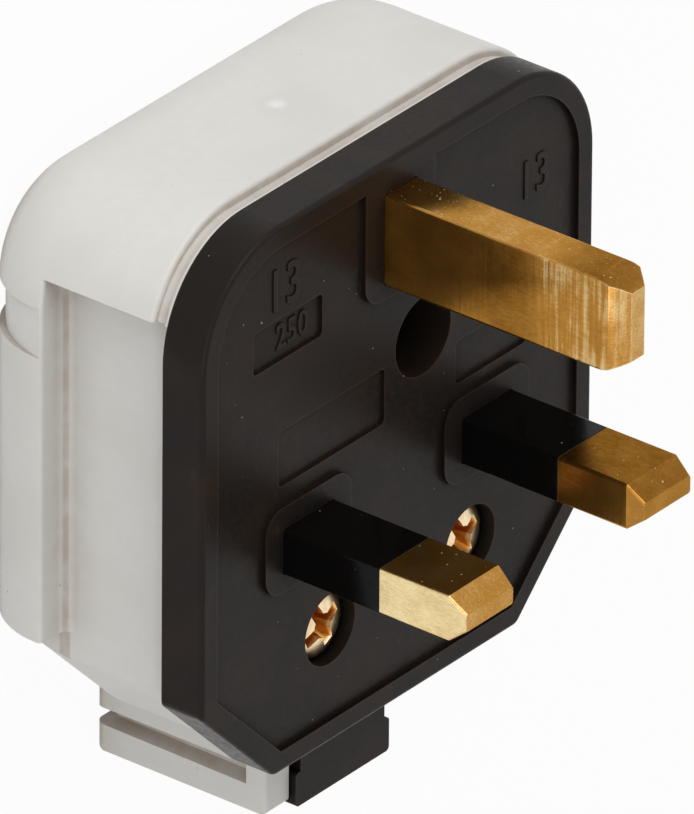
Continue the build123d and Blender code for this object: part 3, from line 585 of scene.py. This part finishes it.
def sleeve_plastic(settings):
    """Glossy black sleeve with light scuffs and a little dust."""
    finish = Finish("sleeve_plastic", **{"Specular IOR Level": 0.1})
    dust = finish.most(
        finish.specks(spacing=1.7 * MM, radius=0.12 * MM, share=0.2, offset=2 * MM),
        finish.specks(spacing=0.6 * MM, radius=0.05 * MM, share=0.15, offset=9 * MM),
    )
    dark = rgba(settings.sleeve_colour)
    finish.set("Base Color", finish.mix(finish.times(dust, 0.45), dark, SLEEVE_DUST))
    scuff = finish.ramp(finish.noise(0.9 * MM, detail=4.0, roughness=0.6), 0.5, 0.8)
    smooth = settings.sleeve_roughness
    finish.set("Roughness", finish.between(scuff, smooth, smooth + 0.12))
    finish.relief(finish.noise(1.8 * MM, detail=2.0, roughness=0.5), distance=0.015 * MM, strength=0.4)
    finish.relief(dust, distance=0.03 * MM, strength=0.7)
    return finish.material


def plated_steel(name, settings, head_top):
    """Yellow plating on a screw, a little uneven in brown patches, with painted shade in brown down in the
    recess and round the rim.
    """
    finish = Finish(name, **{"Metallic": 1.0})
    cloud = finish.ramp(finish.noise(0.9 * MM, detail=3.0, roughness=0.6), 0.35, 0.7, to_high=0.4)
    # Painted shade: browner the deeper a point lies below the top of the head
    deep = finish.ramp(finish.depth_below(head_top), 0.28 * MM, 0.6 * MM)
    brown = finish.most(cloud, deep)
    finish.set("Base Color", finish.mix(brown, rgba(settings.plating_colour), BROWN_PATCHES_AND_SHADE))
    finish.set("Roughness", finish.between(cloud, 0.3, 0.5))
    finish.relief(finish.noise(0.25 * MM, detail=3.0, roughness=0.6), distance=0.01 * MM, strength=0.5)
    return finish.material


def plain_metal(name, *, colour, dull, roughness, size):
    """Metal that is only seen through the holes: a soft cloud of wear over a base colour."""
    finish = Finish(name, **{"Metallic": 1.0})
    cloud = finish.ramp(finish.noise(size, detail=4.0, roughness=0.6), 0.35, 0.7)
    finish.set("Base Color", finish.mix(cloud, rgba(colour), rgba(dull)))
    finish.set("Roughness", finish.between(cloud, roughness, roughness + 0.15))
    finish.relief(finish.noise(0.3 * size, detail=3.0, roughness=0.6), distance=0.01 * MM, strength=0.4)
    return finish.material


def fuse_ceramic():
    """Unglazed fired tube with fine grain."""
    finish = Finish("fuse_ceramic", **{"Roughness": 0.55})
    grain = finish.ramp(finish.noise(0.7 * MM, detail=4.0, roughness=0.6), 0.3, 0.7)
    finish.set("Base Color", finish.mix(grain, CERAMIC_CLEAN, CERAMIC_SOILED))
    finish.relief(finish.noise(0.2 * MM, detail=3.0, roughness=0.6), distance=0.01 * MM, strength=0.5)
    return finish.material


def clamp_plastic():
    """Matt black moulded bar."""
    finish = Finish("clamp_plastic", **{"Roughness": 0.5})
    cloud = finish.ramp(finish.noise(2 * MM, detail=4.0, roughness=0.6), 0.3, 0.7)
    finish.set("Base Color", finish.mix(cloud, CLAMP_BLACK, CLAMP_WORN))
    finish.relief(finish.noise(0.3 * MM, detail=3.0, roughness=0.6), distance=0.01 * MM, strength=0.5)
    return finish.material


def added(name, data):
    """New object at the origin that holds some data."""
    made = bpy.data.objects.new(name, data)
    bpy.context.scene.collection.objects.link(made)
    return made


def applied(holder):
    """Mesh of an object with its modifiers applied."""
    evaluated = holder.evaluated_get(bpy.context.evaluated_depsgraph_get())
    return bpy.data.meshes.new_from_object(evaluated)


def dress(names, material):
    """Give CAD nodes a material, and leave their meshes alone."""
    for name in names:
        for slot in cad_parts[name].material_slots:
            slot.material = material


# Geometry Nodes: cross-recessed screws

class NodeTree(Graph):
    """A geometry node group with named inputs."""

    def __init__(self, name, inputs):
        tree = bpy.data.node_groups.new(name, "GeometryNodeTree")
        super().__init__(tree)
        tree.interface.new_socket("Geometry", in_out="INPUT", socket_type="NodeSocketGeometry")
        for label, kind in inputs:
            tree.interface.new_socket(label, in_out="INPUT", socket_type=kind)
        tree.interface.new_socket("Geometry", in_out="OUTPUT", socket_type="NodeSocketGeometry")
        self.given = self.node("NodeGroupInput").outputs
        self.result = self.node("NodeGroupOutput").inputs[0]

    def vector(self, x=0.0, y=0.0, z=0.0):
        """Join three numbers into a vector."""
        return self.node("ShaderNodeCombineXYZ", {"X": x, "Y": y, "Z": z}).outputs[0]

    def moved(self, geometry, shift=(0.0, 0.0, 0.0), turn=(0.0, 0.0, 0.0)):
        """Geometry shifted and turned."""
        sockets = {"Geometry": geometry, "Translation": shift, "Rotation": turn}
        return self.node("GeometryNodeTransform", sockets).outputs[0]

    def boolean(self, operation, first, others):
        """Exact boolean of closed meshes; an intersection takes all of them as others."""
        made = self.node("GeometryNodeMeshBoolean", operation=operation, solver="EXACT")
        if first is not None:
            self.tree.links.new(first, made.inputs["Mesh 1"])
        for other in others:
            self.tree.links.new(other, made.inputs["Mesh 2"])
        return made.outputs[0]


def screw_head(tree):
    """Domed head with its top at the origin, and a cross recess in it."""
    given = tree.given
    radius, height = given["Head Radius"], given["Head Height"]

    # A short cylinder cut by a flattened ball that is half as wide again
    barrel = tree.node(
        "GeometryNodeMeshCylinder", {"Vertices": 64, "Radius": radius, "Depth": height}
    ).outputs["Mesh"]
    barrel = tree.moved(barrel, tree.vector(z=tree.times(height, -0.5)))
    ball = tree.node(
        "GeometryNodeMeshUVSphere", {"Segments": 64, "Rings": 32, "Radius": 1.0}
    ).outputs["Mesh"]
    ball_height = tree.times(height, 1.02)
    wide = tree.times(radius, 1.5)
    ball = tree.node(
        "GeometryNodeTransform",
        {"Geometry": ball, "Scale": tree.vector(wide, wide, ball_height),
         "Translation": tree.vector(z=tree.times(ball_height, -1.0))},
    ).outputs[0]
    head = tree.boolean("INTERSECT", None, (barrel, ball))

    # The recess is two arms that narrow towards the bottom, and a round middle. A cone with four
    # corners makes a tapered square, whose corners lie 1.42 times as far out as its sides
    span = tree.times(radius, given["Recess Span"])
    depth = given["Recess Depth"]
    arm = tree.node(
        "GeometryNodeMeshCone",
        {"Vertices": 4, "Radius Top": tree.times(span, 1.42),
         "Radius Bottom": tree.times(span, 0.75), "Depth": depth},
    ).outputs["Mesh"]
    square = tree.moved(arm, turn=(0.0, 0.0, math.pi / 4))
    narrow = tree.math("DIVIDE", given["Recess Width"], tree.times(span, 2.0))
    blade = tree.node(
        "GeometryNodeTransform",
        {"Geometry": square, "Scale": tree.vector(1.0, narrow, 1.0),
         "Translation": tree.vector(z=tree.times(depth, -0.97))},
    ).outputs[0]
    crossing = tree.moved(blade, turn=(0.0, 0.0, math.pi / 2))
    middle = tree.node(
        "GeometryNodeMeshCone",
        {"Vertices": 24, "Radius Top": tree.times(given["Recess Width"], 0.95),
         "Radius Bottom": tree.times(given["Recess Width"], 0.55),
         "Depth": tree.times(depth, 1.1)},
    ).outputs["Mesh"]
    middle = tree.moved(middle, tree.vector(z=tree.times(depth, -1.07)))
    for cutter in (blade, crossing, middle):
        head = tree.boolean("DIFFERENCE", head, (cutter,))
    return head


def screw_shank(tree):
    """A core as wide as the thread's root, and a thin coil that reaches the full radius."""
    given = tree.given
    shank_radius, height = given["Shank Radius"], given["Head Height"]
    shank_length = tree.math("SUBTRACT", given["Length"], height)
    core = tree.node(
        "GeometryNodeMeshCylinder",
        {"Vertices": 32, "Radius": tree.times(shank_radius, 0.86), "Depth": shank_length},
    ).outputs["Mesh"]
    shank_middle = tree.math("SUBTRACT", tree.times(shank_length, -0.5), height)
    core = tree.moved(core, tree.vector(z=shank_middle))
    thread_length = tree.times(shank_length, 0.86)
    coil_radius = tree.times(shank_radius, 0.93)
    helix = tree.node(
        "GeometryNodeCurveSpiral",
        {"Resolution": 24, "Rotations": tree.math("DIVIDE", thread_length, given["Pitch"]),
         "Start Radius": coil_radius, "End Radius": coil_radius, "Height": thread_length},
    ).outputs[0]
    profile = tree.node(
        "GeometryNodeCurvePrimitiveCircle",
        {"Resolution": 4, "Radius": tree.times(shank_radius, 0.07)},
    ).outputs["Curve"]
    thread = tree.node(
        "GeometryNodeCurveToMesh", {"Curve": helix, "Profile Curve": profile, "Fill Caps": True}
    ).outputs[0]
    thread = tree.moved(thread, tree.vector(z=tree.times(given["Length"], -0.985)))
    return core, thread


def screw_tree():
    """Screw whose head's top is at each point: domed head, cross recess, threaded shank."""
    tree = NodeTree("cross_recess_screw", (
        ("Head Radius", "NodeSocketFloat"), ("Head Height", "NodeSocketFloat"),
        ("Shank Radius", "NodeSocketFloat"), ("Length", "NodeSocketFloat"),
        ("Recess Span", "NodeSocketFloat"), ("Recess Width", "NodeSocketFloat"),
        ("Recess Depth", "NodeSocketFloat"), ("Pitch", "NodeSocketFloat"),
        ("Turn", "NodeSocketFloat"), ("Material", "NodeSocketMaterial"),
    ))
    given = tree.given
    whole = tree.node("GeometryNodeJoinGeometry")
    for piece in (screw_head(tree), *screw_shank(tree)):
        tree.tree.links.new(piece, whole.inputs[0])
    turned = tree.moved(whole.outputs[0], turn=tree.vector(z=given["Turn"]))
    placed = tree.node(
        "GeometryNodeInstanceOnPoints", {"Points": given["Geometry"], "Instance": turned}
    ).outputs[0]
    real = tree.node("GeometryNodeRealizeInstances", {"Geometry": placed}).outputs[0]
    painted = tree.node("GeometryNodeSetMaterial", {"Geometry": real, "Material": given["Material"]})
    tree.tree.links.new(painted.outputs[0], tree.result)
    return tree.tree


def grown(name, points, tree, values):
    """Run a node tree on a set of points and keep the result as a plain mesh."""
    seed = bpy.data.meshes.new(name)
    seed.from_pydata([tuple(p) for p in points], [], [])
    holder = added(name, seed)
    modifier = holder.modifiers.new("grow", "NODES")
    modifier.node_group = tree
    for item in tree.interface.items_tree:
        if item.in_out == "INPUT" and item.name in values:
            modifier[item.identifier] = values[item.name]
    mesh = applied(holder)
    holder.modifiers.remove(modifier)
    holder.data = mesh
    mesh.name = name
    return holder


def screws(name, nodes, tree, settings, material, *, shank_radius, turn, recess_depth, head_height):
    """Screws that stand for CAD nodes, with the nodes' own heads and lengths."""
    boxes = [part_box(node) for node in nodes]
    tops = [Vector(((low.x + high.x) / 2, (low.y + high.y) / 2, high.z)) for low, high in boxes]
    low, high = boxes[0]
    piece = grown(name, tops, tree, {
        "Head Radius": (high.x - low.x) / 2,
        "Head Height": head_height,
        "Shank Radius": shank_radius,
        "Length": high.z - low.z,
        "Recess Span": settings.recess_span,
        "Recess Width": settings.recess_width,
        "Recess Depth": recess_depth,
        "Pitch": settings.thread_pitch,
        "Turn": turn,
        "Material": material,
    })
    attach(piece, BODY)
    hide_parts(*nodes)


def softened(name, node, width, material):
    """Copy of a CAD node with its sharp edges rubbed round, which stands for the node."""
    sharp = math.radians(30)
    flat = math.radians(1)
    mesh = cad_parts[node].data.copy()
    mesh.name = name
    work = bmesh.new()
    work.from_mesh(mesh)
    bmesh.ops.remove_doubles(work, verts=work.verts, dist=0.001 * MM)
    bmesh.ops.dissolve_limit(work, angle_limit=flat, verts=work.verts, edges=work.edges)
    work.to_mesh(mesh)
    work.free()
    mesh.materials.clear()
    mesh.materials.append(material)
    mesh.shade_smooth()
    mesh.set_sharp_from_angle(angle=sharp)
    piece = added(name, mesh)
    modifier = piece.modifiers.new("rubbed", "BEVEL")
    modifier.width = width
    modifier.segments = 2
    modifier.limit_method = "ANGLE"
    modifier.angle_limit = sharp
    modifier.harden_normals = True
    finished = applied(piece)
    piece.modifiers.remove(modifier)
    piece.data = finished
    finished.name = name
    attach(piece, BODY)
    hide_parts(node)


def figures(name, text, height, relief, middle, material):
    """Plain figures that stand out of the pin face, as one flat mesh with rounded edges."""
    cap_height_share = 0.72
    narrowed = Matrix.Diagonal((0.8, 1.0, 1.0, 1.0))
    curve = bpy.data.curves.new(name, "FONT")
    curve.body = text
    curve.size = height / cap_height_share
    curve.align_x = "CENTER"
    curve.align_y = "CENTER"
    curve.extrude = relief / 2
    curve.bevel_depth = relief * 0.3
    curve.bevel_resolution = 1
    curve.resolution_u = 6
    curve.space_character = 1.08
    holder = added(name, curve)
    mesh = applied(holder)
    bpy.data.objects.remove(holder)
    mesh.transform(Matrix.Translation(middle) @ narrowed)
    mesh.name = name
    piece = added(name, mesh)
    piece.data.materials.clear()
    piece.data.materials.append(material)
    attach(piece, BODY)


# Operators

class PLUG_OT_cover(bpy.types.Operator):
    """Finish the pale rubber cover"""

    bl_idname = "plug.cover"
    bl_label = "Cover"

    def execute(self, context):
        dress(["cover"], cover_rubber(context.scene.plug_cover))
        return {"FINISHED"}


class PLUG_OT_base(bpy.types.Operator):
    """Finish the black base and set the plain figures on its face"""

    bl_idname = "plug.base"
    bl_label = "Base"

    def execute(self, context):
        settings = context.scene.plug_base
        rubber = base_rubber(settings)
        dress(["base"], rubber)
        for name, text, share, middle in FIGURES:
            height = share * settings.figure_height
            figures(name, text, height, settings.figure_relief, Vector(middle), rubber)
        return {"FINISHED"}


class PLUG_OT_pins(bpy.types.Operator):
    """Finish the brass pins and their sleeves"""

    bl_idname = "plug.pins"
    bl_label = "Pins and sleeves"

    def execute(self, context):
        settings = context.scene.plug_pins
        edge = settings.edge_width
        brass = {}
        for which, (tarnish_and_shade, edge_light, bands_from) in PIN_TARNISH_AND_LIGHT.items():
            brass[which] = pin_brass(f"{which}_pin_brass", settings, tarnish_and_shade, edge_light, bands_from)
            softened(f"{which}_pin_rubbed", f"{which}_pin", edge, brass[which])
        dress(["live_terminal"], brass["live"])
        plastic = sleeve_plastic(settings)
        for which in ("live", "neutral"):
            softened(f"{which}_sleeve_rubbed", f"{which}_pin_sleeve", edge, plastic)
        return {"FINISHED"}


class PLUG_OT_screws(bpy.types.Operator):
    """Grow the cross-recessed screws and finish the small fastenings"""

    bl_idname = "plug.screws"
    bl_label = "Screws and nuts"

    def execute(self, context):
        settings = context.scene.plug_screws
        clamp_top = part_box("cord_clamp_screw_left")[1].z
        cover_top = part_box("cover_screw")[1].z
        clamp_plating = plated_steel("clamp_screw_plating", settings, clamp_top)
        cover_plating = plated_steel("cover_screw_plating", settings, cover_top)
        tree = screw_tree()
        screws(
            "cord_clamp_screws", ["cord_clamp_screw_left", "cord_clamp_screw_right"], tree, settings,
            clamp_plating, shank_radius=1.7 * MM, turn=math.radians(28), recess_depth=1.7 * MM,
            head_height=2.2 * MM,
        )
        screws(
            "cover_fixing_screw", ["cover_screw"], tree, settings, cover_plating,
            shank_radius=1.95 * MM, turn=math.radians(65), recess_depth=1.8 * MM,
            head_height=2.4 * MM,
        )
        dress(["cover_screw_washer"], cover_plating)
        brass = plain_metal(
            "turned_brass", colour=(0.80, 0.58, 0.26), dull=(0.52, 0.32, 0.11), roughness=0.25,
            size=0.9 * MM,
        )
        dress(
            ["cover_nut", "cord_clamp_nut_left", "cord_clamp_nut_right", "earth_terminal_screw",
             "neutral_terminal_screw", "live_terminal_screw"], brass,
        )
        return {"FINISHED"}


class PLUG_OT_fuse(bpy.types.Operator):
    """Finish the fuse, its clips and the cord clamp"""

    bl_idname = "plug.fuse"
    bl_label = "Fuse and cord clamp"

    def execute(self, context):
        dress(["fuse_tube"], fuse_ceramic())
        nickel = plain_metal(
            "fuse_cap_metal", colour=(0.72, 0.70, 0.66), dull=(0.50, 0.48, 0.44), roughness=0.22,
            size=1.2 * MM,
        )
        dress(["fuse_cap_lower", "fuse_cap_upper"], nickel)
        spring = plain_metal(
            "clip_brass", colour=(0.76, 0.58, 0.30), dull=(0.50, 0.34, 0.14), roughness=0.28,
            size=1.4 * MM,
        )
        dress(["fuse_clip_lower", "fuse_clip_upper"], spring)
        dress(["cord_clamp"], clamp_plastic())
        return {"FINISHED"}


def blank(holder):
    """Empty node graph of a material or a world."""
    holder.use_nodes = True
    graph = Graph(holder.node_tree)
    graph.tree.nodes.clear()
    return graph


def shown_white(graph, lit, share):
    """Mix in plain white where the camera, or a reflection, looks at a background."""
    path = graph.node("ShaderNodeLightPath")
    kinds = ("Is Camera Ray", "Is Glossy Ray", "Is Transmission Ray")
    seen = graph.most(*(path.outputs[kind] for kind in kinds))
    white = graph.node("ShaderNodeEmission", {"Color": WHITE, "Strength": 1.0}).outputs[0]
    return graph.node(
        "ShaderNodeMixShader", {0: graph.times(seen, share), 1: lit, 2: white}
    ).outputs[0]


def paper_floor():
    """Sheet of white paper under the plug."""
    material = bpy.data.materials.new("floor_paper")
    graph = blank(material)
    paper = graph.node("ShaderNodeBsdfDiffuse", {"Color": FLOOR_COLOUR}).outputs[0]
    output = graph.node("ShaderNodeOutputMaterial")
    graph.tree.links.new(shown_white(graph, paper, FLOOR_WHITE_SHARE), output.inputs["Surface"])

    mesh = bpy.data.meshes.new("floor")
    signs = ((-1, -1), (1, -1), (1, 1), (-1, 1))
    corners = [(x * FLOOR_HALF, y * FLOOR_HALF, FLOOR_Z) for x, y in signs]
    mesh.from_pydata(corners, [], [(0, 1, 2, 3)])
    mesh.materials.append(material)
    floor = added("floor", mesh)


def white_room(brightness):
    """Room that lights the plug evenly and looks white behind it."""
    world = bpy.data.worlds.new("room")
    graph = blank(world)
    room = graph.node(
        "ShaderNodeBackground", {"Color": ROOM_COLOUR, "Strength": brightness}
    ).outputs[0]
    output = graph.node("ShaderNodeOutputWorld")
    graph.tree.links.new(shown_white(graph, room, 1.0), output.inputs["Surface"])
    bpy.context.scene.world = world


def soft_lamp(name, place, size, power):
    """A square soft light that faces the plug."""
    lamp = bpy.data.lights.new(name, "AREA")
    lamp.size = size
    lamp.energy = power
    holder = added(name, lamp)
    holder.location = place
    towards = Vector(LIGHT_TARGET) - Vector(place)
    holder.rotation_euler = towards.to_track_quat("-Z", "Y").to_euler()


def picture_camera(settings):
    """Long lens on the pin face, rolled so that the earth pin is at the top."""
    camera = bpy.data.cameras.new("camera")
    camera.sensor_fit = "HORIZONTAL"
    camera.sensor_width = SENSOR_WIDTH
    camera.lens = settings.lens
    camera.clip_start = 0.01
    camera.clip_end = 100.0
    holder = added("camera", camera)
    outward = Vector((
        math.cos(settings.elevation) * math.cos(settings.azimuth),
        math.cos(settings.elevation) * math.sin(settings.azimuth),
        math.sin(settings.elevation),
    ))
    level = (-outward).to_track_quat("-Z", "Y").to_matrix()
    turn = Matrix.Rotation(settings.roll, 3, outward)
    place = Matrix.Translation(Vector(settings.aim) + settings.distance * outward)
    holder.matrix_world = place @ (turn @ level).to_4x4()
    bpy.context.scene.camera = holder


class PLUG_OT_stage(bpy.types.Operator):
    """Set the floor, the light and the camera"""

    bl_idname = "plug.stage"
    bl_label = "Stage"

    def execute(self, context):
        settings = context.scene.plug_stage
        context.scene.view_settings.view_transform = "Standard"
        paper_floor()
        white_room(settings.sky)
        soft_lamp("key_light", KEY_PLACE, KEY_SIZE, settings.key_power)
        soft_lamp("fill_light", FILL_PLACE, FILL_SIZE, settings.fill_power)
        picture_camera(settings)
        return {"FINISHED"}


class PLUG_PT_sidebar(bpy.types.Panel):
    """Sidebar panel that lists the plug's pieces"""

    bl_label = "Mains Plug"
    bl_idname = "PLUG_PT_sidebar"
    bl_space_type = "VIEW_3D"
    bl_region_type = "UI"
    bl_category = "Plug"

    def draw(self, context):
        for operator, group in STEPS:
            box = self.layout.box()
            box.operator(operator.bl_idname)
            settings = getattr(context.scene, group, None) if group else None
            if settings:
                for name in settings.bl_rna.properties.keys():
                    if name not in ("rna_type", "name"):
                        box.prop(settings, name)


SETTINGS = (
    ("plug_cover", PlugCoverSettings),
    ("plug_base", PlugBaseSettings),
    ("plug_pins", PlugPinSettings),
    ("plug_screws", PlugScrewSettings),
    ("plug_stage", PlugStageSettings),
)
STEPS = (
    (PLUG_OT_cover, "plug_cover"),
    (PLUG_OT_base, "plug_base"),
    (PLUG_OT_pins, "plug_pins"),
    (PLUG_OT_screws, "plug_screws"),
    (PLUG_OT_fuse, None),
    (PLUG_OT_stage, "plug_stage"),
)


def register():
    """Register the settings, the operators and the panel."""
    for name, group in SETTINGS:
        bpy.utils.register_class(group)
        setattr(bpy.types.Scene, name, PointerProperty(type=group))
    for operator, _ in STEPS:
        bpy.utils.register_class(operator)
    bpy.utils.register_class(PLUG_PT_sidebar)


def unregister():
    """Take everything back in the opposite order."""
    bpy.utils.unregister_class(PLUG_PT_sidebar)
    for operator, _ in reversed(STEPS):
        bpy.utils.unregister_class(operator)
    for name, group in reversed(SETTINGS):
        delattr(bpy.types.Scene, name)
        bpy.utils.unregister_class(group)


def main():
    """Register the add-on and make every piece."""
    register()
    bpy.ops.plug.cover()
    bpy.ops.plug.base()
    bpy.ops.plug.pins()
    bpy.ops.plug.screws()
    bpy.ops.plug.fuse()
    bpy.ops.plug.stage()


if __name__ == "__main__":
    main()
